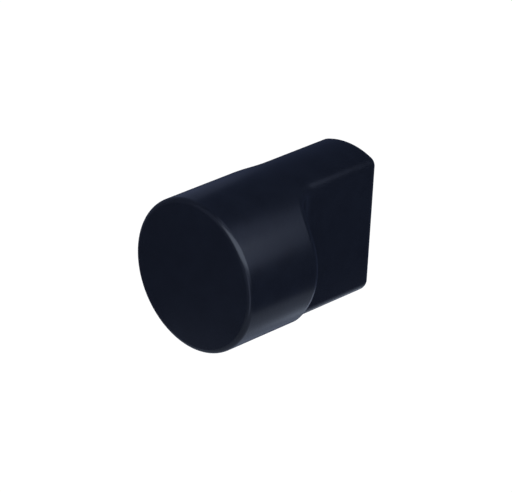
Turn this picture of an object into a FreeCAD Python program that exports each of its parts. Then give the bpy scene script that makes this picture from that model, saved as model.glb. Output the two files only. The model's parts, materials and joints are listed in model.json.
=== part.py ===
import FreeCAD, Part
import math
import os

# A cabinet knob in one piece: a round bar with a finger grip cut into each side.
# The origin is the centre of the back face, which sits on the door or drawer front.
# The bar runs forward along -Y, +Z is up, and the two flats of the grip face +X and -X.

Vector = FreeCAD.Vector

# Sizes in millimetres
knob_diameter = 25.0
knob_length = 35.0
head_length = 15.8
grip_width = 11.2
shoulder_fillet_radius = 4.2
front_edge_radius = 0.8

# One rounding for the edges of both grips and of the back face
edge_radius = 1.8

# Blind hole in the back for an M4 machine screw, at its tapping size
screw_hole_diameter = 3.3
screw_hole_depth = 12.0
screw_hole_mouth_chamfer = 0.4
drill_point_angle = 118.0

# Worked out from the sizes above
knob_radius = knob_diameter / 2
grip_half_width = grip_width / 2
screw_hole_radius = screw_hole_diameter / 2
front_y = -knob_length
shoulder_y = front_y + head_length

# How far a cut runs past the surface that it opens, and how near counts as on a surface
cut_overrun = 2.0
on_surface = 0.001


def arc_point(centre, radius, angle_deg):
    """A point on a circle in the XY plane, its angle counted from +X towards +Y."""
    angle = math.radians(angle_deg)
    return centre + Vector(radius * math.cos(angle), radius * math.sin(angle), 0)


def arc(centre, radius, start_deg, end_deg):
    """An arc in the XY plane, through the point halfway between its two angles."""
    middle_deg = (start_deg + end_deg) / 2
    start = arc_point(centre, radius, start_deg)
    middle = arc_point(centre, radius, middle_deg)
    end = arc_point(centre, radius, end_deg)
    return Part.Arc(start, middle, end).toShape()


def closed_face(edges):
    """The flat face inside a closed run of edges."""
    return Part.Face(Part.Wire(edges))


def turned_bar():
    """The round bar, turned from its half section, with a rounded edge round the front."""
    front_centre = Vector(0, front_y, 0)
    back_centre = Vector(0, 0, 0)
    back_rim = Vector(knob_radius, 0, 0)
    edge_centre = Vector(knob_radius - front_edge_radius, front_y + front_edge_radius, 0)
    front_rim = arc_point(edge_centre, front_edge_radius, -90)
    side_rim = arc_point(edge_centre, front_edge_radius, 0)
    section = closed_face([
        Part.makeLine(front_centre, front_rim),
        arc(edge_centre, front_edge_radius, -90, 0),
        Part.makeLine(side_rim, back_rim),
        Part.makeLine(back_rim, back_centre),
        Part.makeLine(back_centre, front_centre),
    ])
    return section.revolve(Vector(0, 0, 0), Vector(0, 1, 0), 360)


def grip_cut():
    """What is milled away on the +X side: a flat that sweeps up into the shoulder."""
    outside_x = knob_radius + cut_overrun
    behind_y = cut_overrun
    fillet_x = grip_half_width + shoulder_fillet_radius
    fillet_y = shoulder_y + shoulder_fillet_radius
    fillet_centre = Vector(fillet_x, fillet_y, 0)
    flat_back = Vector(grip_half_width, behind_y, 0)
    flat_front = Vector(grip_half_width, fillet_y, 0)
    shoulder_inner = Vector(fillet_x, shoulder_y, 0)
    shoulder_outer = Vector(outside_x, shoulder_y, 0)
    outer_back = Vector(outside_x, behind_y, 0)
    outline = closed_face([
        Part.makeLine(flat_back, flat_front),
        arc(fillet_centre, shoulder_fillet_radius, 180, 270),
        Part.makeLine(shoulder_inner, shoulder_outer),
        Part.makeLine(shoulder_outer, outer_back),
        Part.makeLine(outer_back, flat_back),
    ])
    cut = outline.extrude(Vector(0, 0, 2 * outside_x))
    cut.translate(Vector(0, 0, -outside_x))
    return cut


def points_along(edge, count=7):
    """Points spread evenly along an edge, with both its ends."""
    step = (edge.LastParameter - edge.FirstParameter) / (count - 1)
    return [edge.valueAt(edge.FirstParameter + step * number) for number in range(count)]


def on_back_face(edge):
    """Whether the edge lies in the plane of the back face."""
    return all(abs(point.y) < on_surface for point in points_along(edge))


def bounds_grip(edge):
    """Whether the edge is where a finger grip breaks out through the round outside."""
    points = points_along(edge)
    on_outside = all(abs(math.hypot(point.x, point.z) - knob_radius) < on_surface for point in points)
    behind_shoulder = all(point.y > shoulder_y - on_surface for point in points)
    return on_outside and behind_shoulder and not on_back_face(edge)


def screw_hole():
    """The tapped hole as one turned shape: chamfered mouth, straight wall and drill point."""
    mouth_radius = screw_hole_radius + screw_hole_mouth_chamfer
    point_length = screw_hole_radius / math.tan(math.radians(drill_point_angle / 2))
    outside_centre = Vector(0, cut_overrun, 0)
    outside_rim = Vector(mouth_radius, cut_overrun, 0)
    mouth_rim = Vector(mouth_radius, 0, 0)
    wall_start = Vector(screw_hole_radius, -screw_hole_mouth_chamfer, 0)
    wall_end = Vector(screw_hole_radius, -screw_hole_depth, 0)
    drill_tip = Vector(0, -screw_hole_depth - point_length, 0)
    section = Part.Face(Part.makePolygon([
        outside_centre, outside_rim, mouth_rim, wall_start, wall_end, drill_tip, outside_centre,
    ]))
    return section.revolve(Vector(0, 0, 0), Vector(0, 1, 0), 360)


def knob():
    """The finished knob: bar, finger grips, rounded edges, then the screw hole."""
    right_cut = grip_cut()
    left_cut = right_cut.mirror(Vector(0, 0, 0), Vector(1, 0, 0))
    body = turned_bar().cut([right_cut, left_cut]).Solids[0]
    body = body.makeFillet(edge_radius, [edge for edge in body.Edges if bounds_grip(edge)])
    body = body.makeFillet(edge_radius, [edge for edge in body.Edges if on_back_face(edge)])
    return body.cut(screw_hole()).Solids[0]


os.makedirs("parts", exist_ok=True)
knob().exportStep("parts/knob.step")
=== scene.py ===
import bmesh
import bpy
import json
import math
from mathutils import Matrix, Vector


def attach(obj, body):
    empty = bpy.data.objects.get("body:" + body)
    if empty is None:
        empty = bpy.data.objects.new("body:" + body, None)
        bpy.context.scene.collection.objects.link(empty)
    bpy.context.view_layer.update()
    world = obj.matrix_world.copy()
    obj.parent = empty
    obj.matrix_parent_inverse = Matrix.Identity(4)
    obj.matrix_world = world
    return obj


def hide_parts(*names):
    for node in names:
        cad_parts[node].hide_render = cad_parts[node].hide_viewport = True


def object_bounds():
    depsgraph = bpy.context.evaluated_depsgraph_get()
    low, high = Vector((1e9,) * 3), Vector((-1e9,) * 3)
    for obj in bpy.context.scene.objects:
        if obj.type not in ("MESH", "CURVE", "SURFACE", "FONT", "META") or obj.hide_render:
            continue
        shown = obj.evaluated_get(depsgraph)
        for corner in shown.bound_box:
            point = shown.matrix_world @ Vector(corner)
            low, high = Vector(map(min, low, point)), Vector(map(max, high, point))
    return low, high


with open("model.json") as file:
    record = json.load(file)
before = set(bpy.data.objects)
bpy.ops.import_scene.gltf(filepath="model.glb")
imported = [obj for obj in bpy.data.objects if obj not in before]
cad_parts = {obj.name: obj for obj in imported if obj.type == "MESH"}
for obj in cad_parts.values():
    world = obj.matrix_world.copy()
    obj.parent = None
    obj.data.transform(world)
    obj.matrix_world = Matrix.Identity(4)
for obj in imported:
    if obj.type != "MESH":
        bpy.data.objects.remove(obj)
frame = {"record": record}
cad_low, cad_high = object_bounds()

# The knob lies along Y with its round front at low Y and its back face at Y = 0.
# Lengths are in metres, so sizes given in millimetres are multiplied by MM.
MM = 0.001

# Sizes of the knob: the overall ones come from the frame, the others are the solid's own
knob_radius = min(cad_high.x, cad_high.z)
front_y = cad_low.y
head_length = 15.8 * MM
grip_half_width = 5.6 * MM
shoulder_fillet_radius = 4.2 * MM
front_edge_radius = 0.8 * MM
edge_radius = 1.8 * MM

# The blind hole in the back: the solid's tapping hole, with an M4 thread cut into its wall
screw_mount = frame["record"]["mounts"][0]
screw_hole_depth = 12.0 * MM
screw_hole_mouth_chamfer = 0.4 * MM
drill_point_angle = math.radians(118)
thread_crest_radius = screw_mount["dims"]["r_mm"] * MM
thread_root_radius = 2.0 * MM
thread_pitch = 0.7 * MM
thread_length = 10.0 * MM
thread_flank_angle = math.radians(30)

# Half the width of the thread's flat root, in pitches
thread_root_half_width = 1 / 16

# How many steps each stretch of the surface is divided into
shoulder_steps = 14
ledge_steps = 2
fillet_steps = 24
flat_steps = 16
top_steps = 14
edge_steps = 12
barrel_steps = 24
front_steps = 12
back_steps = 10
thread_steps_per_turn = 14
drill_point_steps = 4

# Points nearer to each other than this are one point
weld_distance = 0.0005 * MM

# How far off the neighbours lie that give the hole's wall its normals
neighbour_distance = 0.01 * MM

# The places of the two materials on the knob's mesh
coat_index = 0
metal_index = 1

# Noise values mostly lie between these two
noise_low = 0.3
noise_high = 0.7

# The coat: satin black paint with a cool cast, with soft waves and a fine grain in its surface
coat_dark = (0.0060, 0.0068, 0.0094)
coat_light = (0.0082, 0.0094, 0.0128)
coat_mottle_cell = 3.0 * MM
coat_roughness_low = 0.22
coat_roughness_high = 0.26
coat_wave_cell = 1.2 * MM
coat_wave_depth = 0.0015 * MM
coat_grain_cell = 0.25 * MM
coat_grain_depth = 0.0004 * MM

# The screw hole: bare cast metal with the tap's fine rings
metal_dark = (0.36, 0.36, 0.35)
metal_light = (0.62, 0.62, 0.60)
metal_roughness_low = 0.24
metal_roughness_high = 0.42
metal_ring_cell = 0.06 * MM
metal_ring_stretch = (12, 1, 12)
metal_ring_depth = 0.002 * MM

# The camera, from the photo: where it stands round a point on the knob's axis, its focal length
# in millimetres, and how far left of that point and below it the middle of its view lies
camera_target = Vector((0, -18.125 * MM, 0))
camera_azimuth = math.radians(43.39)
camera_elevation = math.radians(26.88)
camera_roll = math.radians(3.07)
camera_distance = 0.4987
camera_lens = 225.25
camera_clip_start = 0.01
camera_aim_left = 2.14 * MM
camera_aim_down = 0.23 * MM

# The studio: a pale floor and backdrop that only the camera sees, a dim cool room,
# and soft boxes round the knob that the camera doesn't see
floor_depth = 0.32
floor_size = 1.8
backdrop_radius = 1.0
backdrop_subdivisions = 3
stage_white = (1.05, 1.05, 1.05, 1)
room_colour = (0.045, 0.060, 0.116, 1)
lamp_cool = (0.60, 0.69, 1.0)
lamp_pale = (0.73, 0.83, 1.0)

# What the brightness of every soft box is multiplied by, and the point that they all face
lamp_strength = 1.33
lamp_middle = Vector((0, front_y / 2, 0))

# Worked out from the sizes above. The spine is where the ball's centre runs that rounds the
# edges of the grip and of the back face.
shoulder_y = front_y + head_length
spine_radius = knob_radius - edge_radius
fillet_centre_x = grip_half_width + shoulder_fillet_radius
fillet_centre_y = shoulder_y + shoulder_fillet_radius
shoulder_end_angle = math.acos(fillet_centre_x / spine_radius)
flat_edge_x = grip_half_width - edge_radius
flat_edge_angle = math.acos(flat_edge_x / spine_radius)
flat_edge_z = spine_radius * math.sin(flat_edge_angle)
front_edge_y = front_y + front_edge_radius
back_edge_y = -edge_radius
mouth_radius = thread_crest_radius + screw_hole_mouth_chamfer
thread_depth = thread_root_radius - thread_crest_radius
hole_columns = 4 * (shoulder_steps + top_steps)
side_normal = Vector((1, 0, 0))
front_normal = Vector((0, -1, 0))
back_normal = Vector((0, 1, 0))


def shares(count):
    """The numbers from 0 to 1 in that many equal steps, both ends included."""
    return [number / count for number in range(count + 1)]


def between(start, end, share):
    """The number that lies that share of the way from start to end."""
    return start + (end - start) * share


def outward(angle):
    """The direction straight out from the knob's axis, its angle counted from +X towards +Z."""
    return Vector((math.cos(angle), 0, math.sin(angle)))


def off_axis(radius, direction, y):
    """The point that far out from the knob's axis in a direction, at that place along the axis."""
    return radius * direction + Vector((0, y, 0))


def add_object(name, data):
    """A new object in the scene, made of that mesh, lamp or camera."""
    added = bpy.data.objects.new(name, data)
    bpy.context.scene.collection.objects.link(added)
    return added


class Skin:
    """The faces of one closed surface, with a true normal at each corner of each face."""

    def __init__(self):
        self.points = []
        self.faces = []
        self.normals = []
        self.materials = []

    def face(self, corners, material):
        """One face through (point, normal) corners, facing the way its normals point."""
        first, second, third, last = (point for point, _ in corners)
        facing = (third - first).cross(last - second)
        if facing.dot(sum((normal for _, normal in corners), Vector())) < 0:
            corners = corners[::-1]
        start = len(self.points)
        self.points.extend(tuple(point) for point, _ in corners)
        self.normals.extend(tuple(normal) for _, normal in corners)
        self.faces.append(range(start, start + len(corners)))
        self.materials.append(material)

    def sheet(self, rows, material):
        """Faces between neighbouring rows of (point, normal) corners."""
        for row, next_row in zip(rows, rows[1:]):
            for at in range(len(row) - 1):
                self.face([row[at], row[at + 1], next_row[at + 1], next_row[at]], material)

    def coated_sheet(self, rows):
        """A sheet of the coated outside, repeated in all four quarters round the knob's axis."""
        for side in (1, -1):
            for up in (1, -1):
                flip = Vector((side, 1, up))
                quarter = [[(point * flip, normal * flip) for point, normal in row] for row in rows]
                self.sheet(quarter, coat_index)

    def build(self, name, materials):
        """The finished mesh object, its sheets welded where they meet and its true normals kept."""
        mesh = bpy.data.meshes.new(name)
        mesh.from_pydata(self.points, [], self.faces)
        for material in materials:
            mesh.materials.append(material)
        mesh.polygons.foreach_set("material_index", self.materials)
        mesh.polygons.foreach_set("use_smooth", [True] * len(self.faces))
        kept = mesh.attributes.new("true_normal", "FLOAT_VECTOR", "CORNER")
        kept.data.foreach_set("vector", [value for normal in self.normals for value in normal])
        weld = bmesh.new()
        weld.from_mesh(mesh)
        bmesh.ops.remove_doubles(weld, verts=weld.verts, dist=weld_distance)
        weld.to_mesh(mesh)
        weld.free()
        kept = mesh.attributes["true_normal"]
        mesh.normals_split_custom_set([corner.vector.normalized() for corner in kept.data])
        mesh.attributes.remove(mesh.attributes["true_normal"])
        return add_object(name, mesh)


def grip_edge_stations():
    """The rolling ball that rounds the grip's edge, from the shoulder's rim to the back.

    Each station is the ball's centre, the way to the round outside and the way to the cut."""
    stations = []
    for share in shares(shoulder_steps):
        normal = outward(shoulder_end_angle * share)
        centre = off_axis(spine_radius, normal, shoulder_y - edge_radius)
        stations.append((centre, normal, back_normal))
    reach = shoulder_fillet_radius + edge_radius
    for share in shares(fillet_steps)[1:]:
        sweep = share * math.pi / 2
        cut_normal = Vector((math.sin(sweep), math.cos(sweep), 0))
        x = fillet_centre_x - reach * math.sin(sweep)
        y = fillet_centre_y - reach * math.cos(sweep)
        normal = outward(math.acos(x / spine_radius))
        stations.append((off_axis(spine_radius, normal, y), normal, cut_normal))
    normal = outward(flat_edge_angle)
    for share in shares(flat_steps)[1:]:
        y = between(fillet_centre_y, back_edge_y, share)
        stations.append((off_axis(spine_radius, normal, y), normal, side_normal))
    return stations


def beside_head(stations):
    """The stations beside the head, from the middle of the shoulder's rim to the fillet's end."""
    return stations[:shoulder_steps + fillet_steps + 1]


def top_normals():
    """The directions round the outside, from the grip's edge beside the flat up to the top."""
    return [outward(between(flat_edge_angle, math.pi / 2, share)) for share in shares(top_steps)]


def shoulder_rises():
    """How the rows across the cut are spread, as shares of the way up from the middle."""
    return [
        math.sin(shoulder_end_angle * share) / math.sin(shoulder_end_angle)
        for share in shares(shoulder_steps)
    ]


def rounded(centre, start_normal, end_normal, radius=edge_radius):
    """Corners round an edge, from one face's normal to the other's."""
    row = []
    for share in shares(edge_steps):
        normal = start_normal.slerp(end_normal, share)
        row.append((centre + radius * normal, normal))
    return row


def add_front(skin, stations):
    """The flat front face and the rounding round it, in step with the round outside."""
    face_radius = knob_radius - front_edge_radius
    side_normals = [normal for _, normal, _ in beside_head(stations)]
    edge_rows = []
    face_rows = []
    for normal in side_normals + top_normals()[1:]:
        centre = off_axis(face_radius, normal, front_edge_y)
        edge_rows.append(rounded(centre, normal, front_normal, front_edge_radius))
        face_rows.append([
            (off_axis(face_radius * share, normal, front_y), front_normal)
            for share in reversed(shares(front_steps))
        ])
    skin.coated_sheet(edge_rows)
    skin.coated_sheet(face_rows)


def add_barrel(skin, stations):
    """The round outside: up to the grip's edge at the sides, and to the back above the flats."""
    up_to_grip = []
    for centre, normal, _ in beside_head(stations):
        places = [between(front_edge_y, centre.y, share) for share in shares(barrel_steps)]
        up_to_grip.append((normal, places))
    _, head_places = up_to_grip[-1]
    all_places = head_places + [centre.y for centre, _, _ in stations[-flat_steps:]]
    above_flat = [(normal, all_places) for normal in top_normals()]
    for columns in (up_to_grip, above_flat):
        skin.coated_sheet([
            [(off_axis(knob_radius, normal, y), normal) for y in places]
            for normal, places in columns
        ])


def add_grip_edge(skin, stations):
    """The rounding that runs along the grip's whole edge."""
    skin.coated_sheet([rounded(*station) for station in stations])


def add_cut(skin, stations):
    """The shoulder, the hollow fillet behind it and the flat, from the middle up to the edge."""
    ledge_rows = []
    for centre, _, _ in stations[:shoulder_steps + 1]:
        across = [between(centre.x, fillet_centre_x, share) for share in shares(ledge_steps)]
        ledge_rows.append([(Vector((x, shoulder_y, centre.z)), back_normal) for x in across])
    skin.coated_sheet(ledge_rows)
    cut_rows = []
    for centre, _, normal in stations[shoulder_steps:]:
        edge = centre + edge_radius * normal
        heights = [edge.z * rise for rise in shoulder_rises()]
        cut_rows.append([(Vector((edge.x, edge.y, z)), normal) for z in heights])
    skin.coated_sheet(cut_rows)


def add_back(skin):
    """The back face round the mouth of the screw hole, with its rounded edges and corners."""
    corner = Vector((flat_edge_x, back_edge_y, flat_edge_z))
    heights = [flat_edge_z * rise for rise in shoulder_rises()]
    side_centres = [Vector((flat_edge_x, back_edge_y, z)) for z in heights]
    top_centres = [off_axis(spine_radius, normal, back_edge_y) for normal in top_normals()]
    skin.coated_sheet([rounded(centre, side_normal, back_normal) for centre in side_centres])
    skin.coated_sheet([
        rounded(corner, outward(flat_edge_angle).slerp(side_normal, share), back_normal)
        for share in shares(edge_steps)
    ])
    skin.coated_sheet([
        rounded(centre, normal, back_normal) for centre, normal in zip(top_centres, top_normals())
    ])
    rim = side_centres + top_centres[1:]
    face_rows = []
    for centre, quarter_share in zip(rim, shares(shoulder_steps + top_steps)):
        outer = Vector((centre.x, 0, centre.z))
        inner = mouth_radius * outward(quarter_share * math.pi / 2)
        face_rows.append([(inner.lerp(outer, share), back_normal) for share in shares(back_steps)])
    skin.coated_sheet(face_rows)


def thread_radius(angle, y):
    """The M4 thread's radius there: a flat root halfway through each turn, flanks, flat crests."""
    turn = (y / thread_pitch + angle / (2 * math.pi)) % 1
    from_root = abs(turn - 0.5)
    flank_width = thread_depth * math.tan(thread_flank_angle) / thread_pitch
    share = min(max((from_root - thread_root_half_width) / flank_width, 0), 1)
    return between(thread_root_radius, thread_crest_radius, share)


def hole_radius(angle, y):
    """The hole's radius there: the mouth's chamfer, then the thread, then the plain drilled end."""
    chamfer = mouth_radius + y
    wall = thread_radius(angle, y) if y > -thread_length else thread_crest_radius
    return max(chamfer, wall)


def hole_corner(angle, y):
    """The point of the hole's wall there, with the normal worked out from its close neighbours."""
    turn = neighbour_distance / thread_crest_radius
    deeper = hole_radius(angle, y - neighbour_distance) * outward(angle)
    shallower = hole_radius(angle, y + neighbour_distance) * outward(angle)
    before = hole_radius(angle - turn, y) * outward(angle - turn)
    after = hole_radius(angle + turn, y) * outward(angle + turn)
    along = deeper - shallower - Vector((0, 2 * neighbour_distance, 0))
    normal = along.cross(after - before).normalized()
    if normal.dot(outward(angle)) > 0:
        normal.negate()
    return off_axis(hole_radius(angle, y), outward(angle), y), normal


def add_hole(skin):
    """The tapped hole's wall, as a fine grid in step with the back face, and its drill point."""
    row_count = round(screw_hole_depth / thread_pitch * thread_steps_per_turn)
    angles = [2 * math.pi * share for share in shares(hole_columns)]
    wall_rows = []
    for share in shares(row_count):
        wall_rows.append([hole_corner(angle, -screw_hole_depth * share) for angle in angles])
    skin.sheet(wall_rows, metal_index)
    half_angle = drill_point_angle / 2
    tip = Vector((0, -screw_hole_depth - thread_crest_radius / math.tan(half_angle), 0))
    point_rows = []
    for angle in angles:
        normal = back_normal * math.sin(half_angle) - outward(angle) * math.cos(half_angle)
        end = off_axis(thread_crest_radius, outward(angle), -screw_hole_depth)
        point_rows.append([(end.lerp(tip, share), normal) for share in shares(drill_point_steps)])
    skin.sheet(point_rows, metal_index)


def make_knob(materials):
    """The whole knob as one closed mesh, from the front to the drill point of the screw hole."""
    skin = Skin()
    stations = grip_edge_stations()
    add_front(skin, stations)
    add_barrel(skin, stations)
    add_grip_edge(skin, stations)
    add_cut(skin, stations)
    add_back(skin)
    add_hole(skin)
    return skin.build("knob_body", materials)


def add_noise(tree, cell_size, detail, stretch=(1, 1, 1)):
    """Noise fixed to the knob, with cells of about that size; a stretch draws them out."""
    place = tree.nodes.new("ShaderNodeTexCoord")
    scaling = tree.nodes.new("ShaderNodeMapping")
    scaling.inputs["Scale"].default_value = [1 / (cell_size * along) for along in stretch]
    noise = tree.nodes.new("ShaderNodeTexNoise")
    noise.inputs["Scale"].default_value = 1.0
    noise.inputs["Detail"].default_value = detail
    tree.links.new(place.outputs["Object"], scaling.inputs["Vector"])
    tree.links.new(scaling.outputs["Vector"], noise.inputs["Vector"])
    return noise.outputs["Fac"]


def add_colours(tree, share, colour_low, colour_high):
    """A colour that runs from one to the other with the share, over the middle of its range."""
    ramp = tree.nodes.new("ShaderNodeValToRGB")
    low, high = ramp.color_ramp.elements
    low.position, low.color = noise_low, (*colour_low, 1)
    high.position, high.color = noise_high, (*colour_high, 1)
    tree.links.new(share, ramp.inputs["Fac"])
    return ramp.outputs["Color"]


def add_values(tree, share, value_low, value_high):
    """A number that runs from one to the other with the share, over the middle of its range."""
    spread = tree.nodes.new("ShaderNodeMapRange")
    spread.inputs["From Min"].default_value = noise_low
    spread.inputs["From Max"].default_value = noise_high
    spread.inputs["To Min"].default_value = value_low
    spread.inputs["To Max"].default_value = value_high
    tree.links.new(share, spread.inputs["Value"])
    return spread.outputs["Result"]


def add_bump(tree, height, depth, under=None):
    """The surface raised and lowered by that depth, on top of another bump if one is given."""
    bump = tree.nodes.new("ShaderNodeBump")
    bump.inputs["Strength"].default_value = 1.0
    bump.inputs["Distance"].default_value = depth
    tree.links.new(height, bump.inputs["Height"])
    if under is not None:
        tree.links.new(under, bump.inputs["Normal"])
    return bump.outputs["Normal"]


def new_material(name):
    """A new material made of nodes, with its node tree."""
    material = bpy.data.materials.new(name)
    material.use_nodes = True
    return material, material.node_tree


def set_finish(tree, colour, roughness, surface, metallic):
    """The tree's shader gets its colour, roughness and bumps from those outputs."""
    shader = tree.nodes["Principled BSDF"]
    shader.inputs["Metallic"].default_value = metallic
    tree.links.new(colour, shader.inputs["Base Color"])
    tree.links.new(roughness, shader.inputs["Roughness"])
    tree.links.new(surface, shader.inputs["Normal"])


def coat_material():
    """The black coat, faintly mottled, whose grain also varies its gloss."""
    material, tree = new_material("black_coat")
    mottle = add_noise(tree, coat_mottle_cell, detail=3)
    waves = add_noise(tree, coat_wave_cell, detail=1)
    grain = add_noise(tree, coat_grain_cell, detail=3)
    colour = add_colours(tree, mottle, coat_dark, coat_light)
    roughness = add_values(tree, grain, coat_roughness_low, coat_roughness_high)
    surface = add_bump(tree, grain, coat_grain_depth, add_bump(tree, waves, coat_wave_depth))
    set_finish(tree, colour, roughness, surface, metallic=0.0)
    return material


def metal_material():
    """The bare metal of the screw hole, ringed by the tap."""
    material, tree = new_material("bare_metal")
    rings = add_noise(tree, metal_ring_cell, detail=2, stretch=metal_ring_stretch)
    colour = add_colours(tree, rings, metal_dark, metal_light)
    roughness = add_values(tree, rings, metal_roughness_low, metal_roughness_high)
    surface = add_bump(tree, rings, metal_ring_depth)
    set_finish(tree, colour, roughness, surface, metallic=1.0)
    return material


def towards(azimuth, elevation):
    """A direction from the knob. Azimuth 0 is in front of it and 90 degrees on its +X side."""
    level = math.cos(elevation)
    return Vector((math.sin(azimuth) * level, -math.cos(azimuth) * level, math.sin(elevation)))


def level_right(azimuth):
    """The level direction to the right, as seen from that azimuth."""
    return Vector((math.cos(azimuth), math.sin(azimuth), 0))


def placed(place, right, up, back):
    """Where a camera or lamp stands and how it is turned, by its own right, up and back."""
    turn = Matrix((right, up, back)).transposed()
    return Matrix.Translation(place) @ turn.to_4x4()


def add_camera():
    """The camera, rolled, and turned a little off its target to frame the knob as in the photo."""
    back = towards(camera_azimuth, camera_elevation)
    right = level_right(camera_azimuth)
    up = back.cross(right)
    rolled_right = right * math.cos(camera_roll) + up * math.sin(camera_roll)
    rolled_up = up * math.cos(camera_roll) - right * math.sin(camera_roll)
    place = camera_target + back * camera_distance
    aim = camera_target - rolled_right * camera_aim_left - rolled_up * camera_aim_down
    back = (place - aim).normalized()
    right = rolled_up.cross(back).normalized()
    data = bpy.data.cameras.new("camera")
    data.lens = camera_lens
    data.clip_start = camera_clip_start
    camera = add_object("camera", data)
    camera.matrix_world = placed(place, right, back.cross(right), back)
    bpy.context.scene.camera = camera


def glowing(name, colour):
    """A material that gives off one even colour."""
    material, tree = new_material(name)
    glow = tree.nodes.new("ShaderNodeEmission")
    glow.inputs["Color"].default_value = colour
    tree.links.new(glow.outputs["Emission"], tree.nodes["Material Output"].inputs["Surface"])
    return material


def add_stage(name, shape):
    """A white piece of the studio that the knob doesn't mirror and that doesn't light it."""
    mesh = bpy.data.meshes.new(name)
    shape.to_mesh(mesh)
    shape.free()
    mesh.materials.append(glowing(name, stage_white))
    piece = add_object(name, mesh)
    piece.visible_diffuse = False
    piece.visible_glossy = False
    piece.visible_transmission = False
    piece.visible_shadow = False


def add_floor():
    """The level floor, well below the knob."""
    shape = bmesh.new()
    bmesh.ops.create_grid(shape, x_segments=1, y_segments=1, size=floor_size / 2)
    bmesh.ops.translate(shape, verts=shape.verts, vec=(0, 0, -floor_depth))
    add_stage("floor", shape)


def add_backdrop():
    """The backdrop, a ball round the knob and the camera."""
    shape = bmesh.new()
    bmesh.ops.create_icosphere(shape, subdivisions=backdrop_subdivisions, radius=backdrop_radius)
    add_stage("backdrop", shape)


def add_room():
    """The room's own light: it reaches the knob, and the camera sees the backdrop instead."""
    room = bpy.data.worlds.new("room")
    room.use_nodes = True
    room.node_tree.nodes["Background"].inputs["Color"].default_value = room_colour
    bpy.context.scene.world = room
    room.cycles_visibility.camera = False


def seen_size(distance, half_angle):
    """How large a thing is that spans that half angle to each side, seen from that distance."""
    return 2 * distance * math.tan(math.radians(half_angle))


def add_soft_box(
    name, azimuth, elevation, distance, half_width, brightness, colour, half_height=None, roll=0
):
    """A soft box that faces the knob: a rectangle, or round if it has no half height.

    Its angles are in degrees, and its halves are angles too, as seen from the knob. Its
    brightness is that of its face, whatever its size."""
    back = towards(math.radians(azimuth), math.radians(elevation))
    right = level_right(math.radians(azimuth))
    data = bpy.data.lights.new(name, "AREA")
    data.size = seen_size(distance, half_width)
    if half_height is None:
        data.shape = "DISK"
        area = math.pi * data.size ** 2 / 4
    else:
        data.shape = "RECTANGLE"
        data.size_y = seen_size(distance, half_height)
        area = data.size * data.size_y
    data.color = colour
    data.energy = brightness * lamp_strength * math.pi * area
    lamp = add_object(name, data)
    facing = placed(lamp_middle + back * distance, right, back.cross(right), back)
    lamp.matrix_world = facing @ Matrix.Rotation(math.radians(roll), 4, "Z")
    lamp.visible_camera = False


knob = make_knob([coat_material(), metal_material()])
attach(knob, "root")
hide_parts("knob")

add_camera()
add_floor()
add_backdrop()
add_room()

# The key strip draws the bright line along the front edge, the right fill gives the soft band
# on the head's round side, and the others light the faces and edges round these
add_soft_box(
    "right_fill", azimuth=84, elevation=46, distance=0.100,
    half_width=45, brightness=0.365, colour=lamp_cool,
)
add_soft_box(
    "low_left", azimuth=-41, elevation=-37, distance=0.100,
    half_width=6, brightness=0.32, colour=lamp_cool,
)
add_soft_box(
    "under_fill", azimuth=-148, elevation=-95, distance=0.292,
    half_width=54, brightness=0.205, colour=lamp_pale,
)
add_soft_box(
    "left_fill", azimuth=-81, elevation=12, distance=0.100,
    half_width=47, brightness=0.08, colour=lamp_cool,
)
add_soft_box(
    "low_right", azimuth=50, elevation=-11, distance=0.100,
    half_width=11, half_height=20, brightness=0.60, colour=lamp_cool,
)
add_soft_box(
    "front_fill", azimuth=6, elevation=18, distance=0.800,
    half_width=46, brightness=0.145, colour=lamp_cool,
)
add_soft_box(
    "key_strip", azimuth=62, elevation=41, distance=0.094,
    half_width=47, half_height=21, brightness=1.42, colour=lamp_pale, roll=3,
)
add_soft_box(
    "low_back", azimuth=150, elevation=-38, distance=0.050,
    half_width=10, brightness=0.06, colour=lamp_cool,
)
add_soft_box(
    "rim_light", azimuth=184, elevation=-43, distance=0.300,
    half_width=9, brightness=0.40, colour=lamp_pale,
)
add_soft_box(
    "back_right", azimuth=115, elevation=20, distance=0.100,
    half_width=10, brightness=0.095, colour=lamp_cool,
)

bpy.context.scene.view_settings.view_transform = "Standard"
